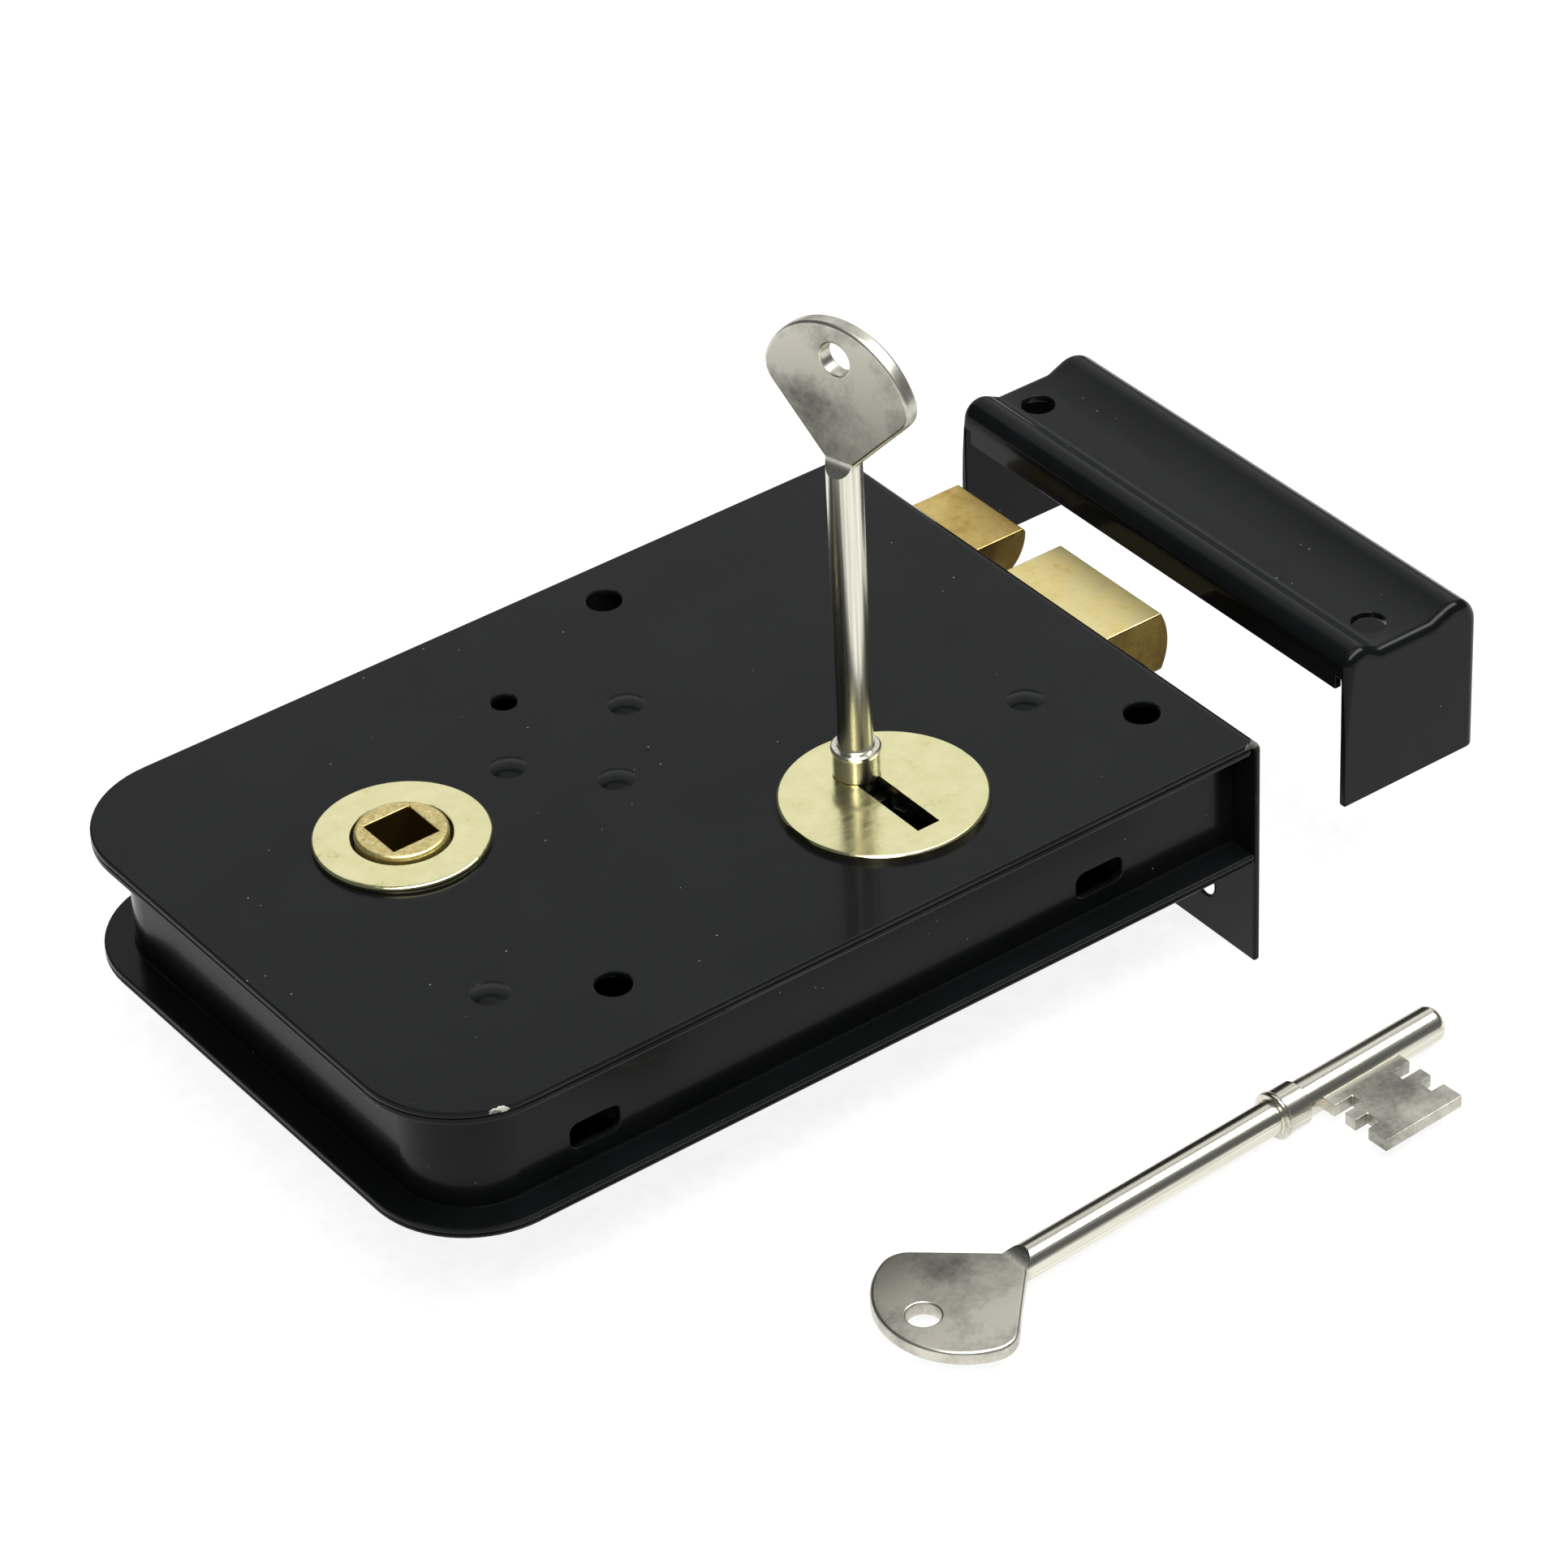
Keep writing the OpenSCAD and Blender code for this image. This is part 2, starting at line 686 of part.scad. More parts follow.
// Bit seen from the side, with v the distance from the key's axis and u the height
module bit_outline() {
    top = bit_top;
    low = bit_top - bit_h;
    difference() {
        translate([0, low]) square([bit_r, bit_h]);
        for (n = [inner_notch, outer_notch]) {
            translate([n[0], top - n[2]]) square([n[1] - n[0], n[2] + 1]);
            translate([n[0], low - 1]) square([n[1] - n[0], n[2] + 1]);
        }
    }
}

// Key standing on its collar's underside: bow up, bit towards -Y
module key_body() {
    lip = 1;
    tip_round = 1.8;
    bow_hole_u = 17.1;
    difference() {
        union() {
            rotate_extrude() polygon(concat([[0, -pin_len]],
                arc([pin_r - tip_round, tip_round - pin_len], tip_round, -90, 0, 6),
                [[pin_r, 0], [collar_r - 0.3, 0], [collar_r, 0.3], [collar_r, collar_h - lip],
                [lip_r, collar_h - lip], [lip_r, collar_h - 0.2], [lip_r - 0.2, collar_h],
                [shank_r, collar_h], [shank_r, neck_z - 0.6], [shank_r - 0.6, neck_z], [0, neck_z]]));
            translate([-bow_t / 2, 0, neck_z]) rotate([90, 0, 90]) linear_extrude(bow_t) bow_outline();
            translate([-bit_t / 2, 0, 0]) rotate([90, 0, 90]) linear_extrude(bit_t)
                mirror([1, 0]) bit_outline();
        }
        translate([-bow_t, 0, neck_z + bow_hole_u]) rotate([0, 90, 0]) cylinder(r = 2.6, h = 2 * bow_t);
    }
}

module key() {
    color(NICKEL) translate([key_axis.x, key_axis.y, z_esc]) rotate([0, 0, key_turn]) key_body();
}

module spare_key() {
    color(NICKEL) translate([spare_at.x, spare_at.y, lip_r - forend_drop])
        rotate([0, 0, spare_turn]) rotate([0, -90, 0]) key_body();
}

// Section of the keep: front lip, front ridge, channel, rear ridge and back wall.
// Inset d moves every face inwards by the sheet's thickness.
function keep_section(d, foot) = concat([[d, foot]],
    arc([front_ridge_r, keep_h - front_ridge_r], front_ridge_r - d, 180, front_ridge_end, 10),
    [for (x = channel_x) [x, channel_z - d]],
    arc([keep_w - rear_ridge_r, keep_h - rear_ridge_r], rear_ridge_r - d, rear_ridge_start, 0, 12),
    [[keep_w - d, foot]]);

module keep_slice(y, len) {
    translate([0, y + len, 0]) rotate([90, 0, 0]) linear_extrude(len) children();
}

module keep() {
    color(BLACK) translate([keep_at.x, keep_at.y, 0]) difference() {
        union() {
            keep_slice(0, keep_len) difference() {
                polygon(keep_section(0, 0));
                polygon(keep_section(keep_t, -1));
                translate([-1, -1]) square([keep_t + 3, keep_lip_z + 1]);
            }
            for (y = [0, keep_len - keep_t])
                keep_slice(y, keep_t) polygon(keep_section(0, 0));
        }
        for (y = [keep_hole_in, keep_len - keep_hole_in])
            translate([keep_hole_x, y, channel_z - keep_t - 1]) cylinder(r = keep_hole_r, h = keep_t + 2);
        for (y = [keep_t, keep_len - 2 * keep_t])
            translate([-1, y, keep_lip_z - 1]) cube([keep_t + 1.4, keep_t, keep_front_z - keep_lip_z + 1]);
    }
}

face_plate();
rim_wall();
back_plate();
spindle_escutcheon();
key_escutcheon();
spacer_posts();
lever_post();
spring_post();
front_ward();
back_ward();
latch_guide();
spring_anchor();
latch_spring();
latch_bolt();
latch_yoke();
latch_rivets();
follower();
dead_bolt();
bolt_tail();
bolt_stump();
bolt_rivets();
lever_1();
lever_spring_1();
lever_2();
lever_spring_2();
key();
spare_key();
keep();
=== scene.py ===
import json
import math

import bpy
from mathutils import Matrix, Vector


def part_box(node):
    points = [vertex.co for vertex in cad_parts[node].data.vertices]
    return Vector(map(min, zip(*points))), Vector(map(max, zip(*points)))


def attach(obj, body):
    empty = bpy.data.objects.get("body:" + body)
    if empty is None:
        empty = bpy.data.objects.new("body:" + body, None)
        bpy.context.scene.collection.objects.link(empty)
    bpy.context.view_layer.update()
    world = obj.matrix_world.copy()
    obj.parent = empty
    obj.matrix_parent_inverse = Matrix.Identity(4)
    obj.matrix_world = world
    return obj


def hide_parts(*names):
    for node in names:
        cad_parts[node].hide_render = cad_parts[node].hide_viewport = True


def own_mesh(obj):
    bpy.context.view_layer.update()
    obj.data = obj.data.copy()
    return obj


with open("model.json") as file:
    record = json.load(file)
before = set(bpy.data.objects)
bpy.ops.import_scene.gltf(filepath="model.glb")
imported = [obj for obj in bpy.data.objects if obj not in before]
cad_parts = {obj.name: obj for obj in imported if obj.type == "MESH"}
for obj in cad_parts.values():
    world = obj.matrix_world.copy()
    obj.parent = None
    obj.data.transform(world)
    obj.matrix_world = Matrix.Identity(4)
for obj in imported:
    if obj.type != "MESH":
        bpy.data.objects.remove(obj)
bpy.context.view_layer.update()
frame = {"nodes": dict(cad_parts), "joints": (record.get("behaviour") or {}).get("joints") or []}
joints = {joint["name"]: joint for joint in frame["joints"]}

MM = 0.001

# how far a point may lie from a place and still be taken to be on it, and what counts as one point (mm)
NEAR = 0.02
SAME_POINT = 0.002

# flats in a bend, and the edges and bends of the pressed pieces (mm)
BEND_SEGMENTS = 5
KEEP_BEND_R, KEEP_EDGE_R, KEEP_RIDGE_H = 1.8, 0.25, 4.7
WALL_EDGE_R = 0.3

# slots in the long walls: the ends with a tongue, from the ends of the face plate, and the two edges (mm)
SLOT_END_FROM_REAR, SLOT_END_FROM_FOREND = 34.8, 23.2
SLOT_LOW, SLOT_HIGH, SLOT_CORNER_R = 5.2, 9.4, 1.4

# half the width of the square hole through the follower, with a little over (mm)
SQUARE_HALF = 4.10

# two places on the face plate's edge where the enamel is chipped, each with how pale the metal is there;
# a chip reaches the first length at least, and its ragged edge up to the second one more (mm)
CHIPS = (((-25.5, -62.0, 22.4), "#a5a49a"), ((112.8, -62.6, 22.5), "#5b5a54"))
CHIP_REACH, CHIP_SPREAD = 0.6, 2.0

# key, in its own frame: underside of the collar at the origin, bow up, bit towards -Y (mm)
PIN_R, PIN_LEN, PIN_ROUND = 3.05, 29.0, 1.8
COLLAR_R, COLLAR_H, LIP_R = 3.65, 5.2, 3.85
SHANK_R, NECK_Z = 2.75, 56.2
BOW_T, BOW_R, BOW_RISE, BOW_SIDE_R, NECK_HALF, BOW_EDGE_R = 2.5, 13.9, 9.0, 4.5, 2.6, 0.62
BOW_HOLE_R, BOW_HOLE_RISE, BOW_HOLE_EDGE_R = 2.6, 17.1, 0.35
SCOOP_R, SCOOP_RISE = 3.5, 0.6
# the tang, and the web between the scoops, of which this is half, are a little thinner than the bow, so
# that no two faces share a plane
TANG_T, TANG_HALF, TANG_LEN, TANG_RISE = 2.38, 2.4, 3.2, 0.8
WEB_HALF = 1.22
BIT_T, BIT_REACH, BIT_TOP, BIT_H, BIT_EDGE_R = 2.2, 16.4, -2.6, 15.6, 0.18
BIT_NOTCHES = ((5.4, 7.6, 3.7), (9.9, 12.5, 2.5))

# where the spare key lies, on its collar's lip and its bow, turned by the last number (degrees)
FLOOR_Z = -18.75 * MM
SPARE_X, SPARE_Y, SPARE_TURN = 92.4 * MM, -96.1 * MM, 3.04

# paper under the lock that the lock shades: its middle lies past the lock's own by the first number, its
# even part is smaller all round by the next two, and it fades out over the last (mm)
SHADE_SHIFT, SHADE_LESS_X, SHADE_LESS_Y, SHADE_FADE = 12, 22, 40, 20

# studio, in metres: what the lamps point at, and each lamp's name, place, width, height and watts
OBJECT_MIDDLE = (0.05, 0, 0)
SOFTBOXES = (
    ("far_softbox", (0.66, 0.86, 0.76), 1.7, 1.1, 5.2),
    ("top_softbox", (0.10, 0.05, 1.3), 1.2, 0.8, 3.0),
    ("front_softbox", (0.15, -0.42, 0.98), 1.9, 0.45, 30.0),
)
ROOM_COLOUR, ROOM_STRENGTH = (0.9, 0.93, 0.96, 1), 0.13
FLOOR_SIZE, FLOOR_GAP = 6, 0.0002

# camera as solved from the photograph: its axes, place, focal length in pixels and image size in pixels
CAMERA_RIGHT = Vector((0.80276, -0.59474, -0.04312))
CAMERA_UP = Vector((0.37923, 0.45338, 0.80662))
CAMERA_BACK = Vector((-0.46018, -0.66387, 0.58950))
CAMERA_PLACE = Vector((-0.38341, -0.64506, 0.57275))
FOCAL_PX, IMAGE_PX, SENSOR_WIDTH = 7702.3, 1932, 36
SHIFT_X, SHIFT_Y = 0.0196, 0.01133


def linear(hex_colour):
    """An sRGB hex colour as linear RGBA."""
    values = [int(hex_colour[i : i + 2], 16) / 255 for i in (1, 3, 5)]
    return (
        *(v / 12.92 if v <= 0.04045 else ((v + 0.055) / 1.055) ** 2.4 for v in values),
        1.0,
    )


def per(size_mm):
    """The pattern scale that makes one cell of a pattern this many millimetres wide."""
    return 1 / (size_mm * MM)


def feed(tree, target, **inputs):
    """Feeds a node's inputs, each named by its identifier or its name, with _ for a space. What feeds
    one is a plain value, a socket, or a node, whose first live output is then meant."""
    for key, value in inputs.items():
        by_identifier = {socket.identifier: socket for socket in target.inputs}
        socket = by_identifier.get(key) or target.inputs[key.replace("_", " ")]
        if isinstance(value, bpy.types.Node):
            value = next(output for output in value.outputs if output.enabled)
        if isinstance(value, bpy.types.NodeSocket):
            tree.links.new(value, socket)
        else:
            socket.default_value = value


def node(tree, kind, settings=None, **inputs):
    """Adds a node and feeds it. Its settings are its properties, or the stops of its colour ramp as
    (position, hex colour or grey value)."""
    made = tree.nodes.new(kind)
    for key, value in (settings or {}).items():
        if key == "stops":
            steps = made.color_ramp.elements
            while len(steps) < len(value):
                steps.new(0.5)
            for step, (position, colour) in zip(steps, value):
                step.position = position
                step.color = linear(colour) if isinstance(colour, str) else (colour, colour, colour, 1)
        else:
            setattr(made, key, value)
    feed(tree, made, **inputs)
    return made


def new_material(name):
    """A node material: its tree, its shader and the object coordinates that its patterns read."""
    material = bpy.data.materials.new(name)
    material.use_nodes = True
    tree = material.node_tree
    place = node(tree, "ShaderNodeTexCoord").outputs["Object"]
    return material, tree, tree.nodes["Principled BSDF"], place


MATHS = "ShaderNodeMath"
VECTORS = "ShaderNodeVectorMath"
NOISE = "ShaderNodeTexNoise"
RAMP = "ShaderNodeValToRGB"
RANGE = "ShaderNodeMapRange"
MIX = "ShaderNodeMix"
BUMP = "ShaderNodeBump"
MAPPING = "ShaderNodeMapping"
COLOURS = {"data_type": "RGBA"}
SMOOTH = {"interpolation_type": "SMOOTHSTEP"}


def stoved_enamel():
    """Black stoved enamel on pressed sheet: low sheen under a thin gloss, with a faint orange peel 0.7 mm
    wide, pale dust that lies on it in specks, and bare metal where its edge is chipped. The specks are
    drawn about 0.3 mm across, coarser than dust, so they show."""
    material, tree, shader, place = new_material("stoved_black_enamel")
    cloud = node(tree, NOISE, Vector=place, Scale=per(18.18), Detail=6.0, Roughness=0.6)
    black = node(tree, RAMP, {"stops": [(0.3, "#080909"), (0.7, "#0c0d0e")]}, Fac=cloud)
    cells = node(tree, "ShaderNodeTexVoronoi", Vector=place, Scale=per(3.030), Randomness=1.0)
    rare = node(tree, NOISE, Vector=place, Scale=per(4.762), Detail=1.0)
    near = node(tree, MATHS, {"operation": "LESS_THAN"}, Value=cells, Value_001=0.043)
    some = node(tree, MATHS, {"operation": "GREATER_THAN"}, Value=rare, Value_001=0.56)
    speck = node(tree, MATHS, {"operation": "MULTIPLY"}, Value=near, Value_001=some)
    tone = node(tree, MIX, COLOURS, Factor_Float=speck, A_Color=black, B_Color=linear("#6c6f72"))
    ragged = node(tree, NOISE, Vector=place, Scale=per(1.25), Detail=4.0)
    spread = node(tree, MATHS, {"operation": "MULTIPLY"}, Value=ragged, Value_001=CHIP_SPREAD * MM)
    reach = node(tree, MATHS, {"operation": "ADD"}, Value=spread, Value_001=CHIP_REACH * MM)
    for chip, pale in CHIPS:
        metal = node(tree, RAMP, {"stops": [(0.42, "#2b2b28"), (0.52, pale)]}, Fac=ragged)
        off = node(tree, VECTORS, {"operation": "SUBTRACT"}, Vector=place, Vector_001=Vector(chip) * MM)
        # a chip is long along the edge and low
        squat = node(tree, VECTORS, {"operation": "MULTIPLY"}, Vector=off, Vector_001=(0.8, 1, 2.6))
        away = node(tree, VECTORS, {"operation": "LENGTH"}, Vector=squat)
        bare = node(tree, MATHS, {"operation": "LESS_THAN"}, Value=away, Value_001=reach)
        tone = node(tree, MIX, COLOURS, Factor_Float=bare, A_Color=tone, B_Color=metal)
    gloss = node(tree, RAMP, {"stops": [(0.3, 0.19), (0.7, 0.26)]}, Fac=cloud)
    peel = node(tree, NOISE, Vector=place, Scale=per(0.6667), Detail=2.0)
    bump = node(tree, BUMP, Strength=0.10, Distance=0.05 * MM, Height=peel)
    feed(tree, shader, Base_Color=tone, Roughness=gloss, Normal=bump, IOR=1.5)
    feed(tree, shader, Specular_IOR_Level=0.08, Coat_Weight=0.09, Coat_Roughness=0.06)
    return material


def lacquered_brass():
    """Thin brass sheet, polished and lacquered: pale and even, with polishing lines, small stains and a
    mirror-like face. The lines are drawn 0.4 mm apart, coarser than real ones, so they show."""
    material, tree, shader, place = new_material("lacquered_brass_sheet")
    along = (per(6.25), per(0.3846), per(1.111))
    stretch = node(tree, MAPPING, Vector=place, Scale=along, Rotation=(0, 0, 0.5))
    lines = node(tree, NOISE, Vector=stretch, Scale=1.0, Detail=3.0)
    stain = node(tree, NOISE, Vector=place, Scale=per(3.846), Detail=7.0, Roughness=0.65)
    tones = [(0.28, "#a89c60"), (0.38, "#dcd7a4"), (0.75, "#e8e3b4")]
    tone = node(tree, RAMP, {"stops": tones}, Fac=stain)
    gloss = node(tree, RAMP, {"stops": [(0.3, 0.13), (0.7, 0.24)]}, Fac=lines)
    bump = node(tree, BUMP, Strength=0.12, Distance=0.02 * MM, Height=lines)
    feed(tree, shader, Base_Color=tone, Roughness=gloss, Normal=bump, Metallic=1.0)
    return material


def bolt_brass(name, tones):
    """Solid brass bar: its faces that point up pale and satin, with brown stains and pits 0.3 mm wide, and
    its other faces brown. The tones go from the stains to the palest."""
    material, tree, shader, place = new_material(name)
    facing = node(tree, "ShaderNodeTexCoord").outputs["Normal"]
    upward = node(tree, "ShaderNodeSeparateXYZ", Vector=facing).outputs["Z"]
    top = node(tree, MATHS, {"operation": "GREATER_THAN"}, Value=upward, Value_001=0.8)
    stain = node(tree, NOISE, Vector=place, Scale=per(6.667), Detail=10.0, Roughness=0.7)
    pale = node(tree, RAMP, {"stops": list(zip((0.32, 0.42, 0.58, 0.75), tones))}, Fac=stain)
    browns = [(0.34, "#4c3c17"), (0.5, "#655324"), (0.7, "#79662f")]
    brown = node(tree, RAMP, {"stops": browns}, Fac=stain)
    tone = node(tree, MIX, COLOURS, Factor_Float=top, A_Color=brown, B_Color=pale)
    satin = node(tree, RAMP, {"stops": [(0.34, 0.55), (0.6, 0.44)]}, Fac=stain)
    gloss = node(tree, MIX, COLOURS, Factor_Float=top, A_Color=(0.42, 0.42, 0.42, 1), B_Color=satin)
    pits = node(tree, NOISE, Vector=place, Scale=per(0.3125), Detail=3.0)
    bump = node(tree, BUMP, Strength=0.22, Distance=0.03 * MM, Height=pits)
    feed(tree, shader, Base_Color=tone, Roughness=gloss, Normal=bump, Metallic=1.0)
    return material


def follower_brass():
    """Cast brass with a sandy skin, its grain 0.5 mm wide: duller than the bolts, and with painted shade
    inside the square hole, which is painted dark brown."""
    material, tree, shader, place = new_material("cast_brass_follower")
    grain = node(tree, NOISE, Vector=place, Scale=per(0.5263), Detail=5.0, Roughness=0.7)
    skin_tones = [(0.3, "#a3935a"), (0.5, "#cbbb80"), (0.72, "#e6dba6")]
    skin = node(tree, RAMP, {"stops": skin_tones}, Fac=grain)
    split = node(tree, "ShaderNodeSeparateXYZ", Vector=place)
    off_x = node(tree, MATHS, {"operation": "ABSOLUTE"}, Value=split.outputs["X"])
    off_y = node(tree, MATHS, {"operation": "ABSOLUTE"}, Value=split.outputs["Y"])
    off = node(tree, MATHS, {"operation": "MAXIMUM"}, Value=off_x, Value_001=off_y)
    # painted shade: the inside of the square hole is painted dark brown, as the recess is in shade
    inside = node(tree, MATHS, {"operation": "LESS_THAN"}, Value=off, Value_001=SQUARE_HALF * MM)
    tone = node(tree, MIX, COLOURS, Factor_Float=inside, A_Color=skin, B_Color=linear("#75602f"))
    bump = node(tree, BUMP, Strength=0.35, Distance=0.04 * MM, Height=grain)
    feed(tree, shader, Base_Color=tone, Roughness=0.42, Normal=bump, Metallic=1.0)
    return material


def nickel_plate(name, origin, turn, painted_lock_shade):
    """Nickel plate on a cast key, in the key's own frame: bright on the turned shank, with drawing lines
    along it, and cloudy on the flat bow and bit, with grey patches up to 12 mm across. The last
    argument, from 0 to 1, darkens the pin and the bit: painted shade for the inside of the lock, where no
    light reaches them. The lines are drawn 0.3 mm apart, coarser than real ones, so they show."""
    material, tree, shader, place = new_material(name)
    own = node(tree, MAPPING, {"vector_type": "TEXTURE"}, Vector=place, Location=origin, Rotation=turn)
    split = node(tree, "ShaderNodeSeparateXYZ", Vector=own)
    height, side = split.outputs["Z"], split.outputs["Y"]
    # 0 on the turned shank, 1 on the flat bow and on the flat bit
    bow_from, bow_full = (NECK_Z - 1.5) * MM, (NECK_Z + 1.0) * MM
    on_bow = node(tree, RANGE, SMOOTH, Value=height, From_Min=bow_from, From_Max=bow_full)
    on_bit = node(tree, RANGE, SMOOTH, Value=side, From_Min=-3.2 * MM, From_Max=-4.2 * MM)
    flat = node(tree, MATHS, {"operation": "MAXIMUM"}, Value=on_bow, Value_001=on_bit)
    cloud = node(tree, NOISE, Vector=own, Scale=per(12.5), Detail=6.0, Roughness=0.58)
    grain = node(tree, NOISE, Vector=own, Scale=per(0.9091), Detail=4.0, Roughness=0.7)
    # painted reflection: the bow is painted a little paler towards its top, where it reflects more of the
    # bright room
    bow_top = (NECK_Z + 2 * BOW_RISE) * MM
    painted_paling = node(tree, RANGE, Value=height, From_Min=NECK_Z * MM, From_Max=bow_top, To_Max=0.09)
    cloud_and_paling = node(tree, MATHS, {"operation": "ADD"}, Value=cloud, Value_001=painted_paling)
    mottle_and_paling = node(tree, MATHS, {"operation": "MULTIPLY_ADD"}, Value=grain, Value_001=0.22, Value_002=cloud_and_paling)
    dull_tones = [(0.46, "#74746d"), (0.58, "#9f9d92"), (0.74, "#c9c6b9")]
    dull = node(tree, RAMP, {"stops": dull_tones}, Fac=mottle_and_paling)
    stretch = node(tree, MAPPING, Vector=own, Scale=(per(0.3030), per(0.3030), per(35.71)))
    lines = node(tree, NOISE, Vector=stretch, Scale=1.0, Detail=3.0)
    bright_tones = [(0.3, "#b3b0a3"), (0.5, "#d2cfc1"), (0.7, "#e0ddcf")]
    bright = node(tree, RAMP, {"stops": bright_tones}, Fac=lines)
    clean = node(tree, MIX, COLOURS, Factor_Float=flat, A_Color=bright, B_Color=dull)
    # painted shade on what is below the collar, the pin and the bit, for the dark inside of the lock
    painted_shade_in_lock = node(tree, RANGE, Value=height, From_Min=-1.2 * MM, From_Max=-2.2 * MM, To_Max=painted_lock_shade)
    tone = node(tree, MIX, COLOURS, Factor_Float=painted_shade_in_lock, A_Color=clean, B_Color=linear("#17140f"))
    dull_gloss = node(tree, RAMP, {"stops": [(0.46, 0.42), (0.72, 0.30)]}, Fac=mottle_and_paling)
    bright_gloss = node(tree, RAMP, {"stops": [(0.3, 0.28), (0.7, 0.16)]}, Fac=lines)
    gloss = node(tree, MIX, COLOURS, Factor_Float=flat, A_Color=bright_gloss, B_Color=dull_gloss)
    dents = node(tree, NOISE, Vector=own, Scale=per(2.381), Detail=4.0)
    relief = node(tree, MATHS, {"operation": "ADD"}, Value=lines, Value_001=dents)
    bump = node(tree, BUMP, Strength=0.14, Distance=0.03 * MM, Height=relief)
    feed(tree, shader, Base_Color=tone, Roughness=gloss, Normal=bump, Metallic=1.0)
    return material


def mill_steel():
    """Plain cold rolled steel for the parts inside: grey, satin, with rolling lines along X, up to 8 mm
    long. They are drawn 0.4 mm apart, coarser than real ones, so they show."""
    material, tree, shader, place = new_material("cold_rolled_steel")
    stretch = node(tree, MAPPING, Vector=place, Scale=(per(8.333), per(0.4167), per(0.4167)))
    lines = node(tree, NOISE, Vector=stretch, Scale=1.0, Detail=4.0)
    tone = node(tree, RAMP, {"stops": [(0.3, "#7d8082"), (0.7, "#a3a6a8")]}, Fac=lines)
    gloss = node(tree, RAMP, {"stops": [(0.3, 0.30), (0.7, 0.45)]}, Fac=lines)
    bump = node(tree, BUMP, Strength=0.10, Distance=0.02 * MM, Height=lines)
    feed(tree, shader, Base_Color=tone, Roughness=gloss, Normal=bump, Metallic=1.0)
    return material


def studio_paper():
    """White paper sweep under the object, bright enough to print as plain white, with the lock's own
    soft shade on the paper beneath it."""
    material, tree, shader, place = new_material("white_paper_sweep")
    low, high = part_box("face_plate")
    half_x, half_y = (high.x - low.x) / 2, (high.y - low.y) / 2
    middle = (low.x + half_x + SHADE_SHIFT * MM, low.y + half_y, 0)
    reach = (half_x - SHADE_LESS_X * MM, half_y - SHADE_LESS_Y * MM, 1)
    off = node(tree, VECTORS, {"operation": "SUBTRACT"}, Vector=place, Vector_001=middle)
    away = node(tree, VECTORS, {"operation": "ABSOLUTE"}, Vector=off)
    past = node(tree, VECTORS, {"operation": "SUBTRACT"}, Vector=away, Vector_001=reach)
    past = node(tree, VECTORS, {"operation": "MAXIMUM"}, Vector=past, Vector_001=(0, 0, 0))
    gap = node(tree, VECTORS, {"operation": "LENGTH"}, Vector=past)
    lit = node(tree, RANGE, SMOOTH, Value=gap, From_Max=SHADE_FADE * MM)
    grain = node(tree, NOISE, Vector=place, Scale=per(2.5), Detail=2.0)
    glow = node(tree, RAMP, {"stops": [(0.3, "#f8f8f8"), (0.7, "#fcfcfc")]}, Fac=grain)
    paper = node(tree, RAMP, {"stops": [(0.3, "#6e6e6e"), (0.7, "#747474")]}, Fac=grain)
    shaded = node(tree, MIX, COLOURS, Factor_Float=lit, A_Color=linear("#404040"), B_Color=glow)
    feed(tree, shader, Base_Color=paper, Emission_Color=shaded, Emission_Strength=0.93, Roughness=0.9)
    return material


# modelling by hand: sizes are in millimetres, and each helper is one action on one piece


def only(piece):
    """Selects one piece and makes it the active one."""
    bpy.ops.object.select_all(action="DESELECT")
    piece.select_set(True)
    bpy.context.view_layer.objects.active = piece


def apply_place(piece):
    """Moves a piece's place, turn and size into its mesh."""
    only(piece)
    bpy.ops.object.transform_apply(location=True, rotation=True, scale=True)


def apply_modifiers(piece):
    """Applies a piece's modifiers, in their order."""
    only(piece)
    for modifier in list(piece.modifiers):
        bpy.ops.object.modifier_apply(modifier=modifier.name)


def edit(piece, pick="SELECT"):
    """Opens a piece in edit mode with all of it selected, or nothing."""
    only(piece)
    bpy.ops.object.mode_set(mode="EDIT")
    bpy.ops.mesh.select_mode(type="FACE")
    bpy.ops.mesh.select_all(action=pick)


def close(turn_out=False):
    """Leaves edit mode, first turning all faces outwards if asked."""
    if turn_out:
        bpy.ops.mesh.select_all(action="SELECT")
        bpy.ops.mesh.normals_make_consistent(inside=False)
    bpy.ops.object.mode_set(mode="OBJECT")


def disc(name, radius, place, turn=(0, 0, 0), sides=48):
    """A filled circle, the start of a turned or pressed piece."""
    bpy.ops.object.select_all(action="DESELECT")
    bpy.ops.mesh.primitive_circle_add(vertices=sides, radius=radius * MM, fill_type="NGON")
    piece = bpy.context.object
    piece.name = name
    piece.rotation_euler = turn
    piece.location = Vector(place) * MM
    apply_place(piece)
    return piece


def block(name, low, high):
    """A block between two corners, the start of a milled piece."""
    bpy.ops.object.select_all(action="DESELECT")
    bpy.ops.mesh.primitive_cube_add(size=MM)
    piece = bpy.context.object
    piece.name = name
    piece.scale = [b - a for a, b in zip(low, high)]
    piece.location = [(a + b) / 2 * MM for a, b in zip(low, high)]
    apply_place(piece)
    return piece


def grow(distance, factor=1, axis=(0, 0, 1)):
    """Extrudes the selected end face along the axis, then scales the new end."""
    bpy.ops.mesh.extrude_region_move(TRANSFORM_OT_translate={"value": Vector(axis) * distance * MM})
    if factor != 1:
        bpy.ops.transform.resize(value=[1 if a else factor for a in axis])


def turned(name, stations):
    """A piece turned about Z, from (height, radius) stations."""
    height, radius = stations[0]
    piece = disc(name, radius, (0, 0, height))
    edit(piece)
    for (z0, r0), (z1, r1) in zip(stations, stations[1:]):
        grow(z1 - z0, r1 / r0)
    close(turn_out=True)
    return piece


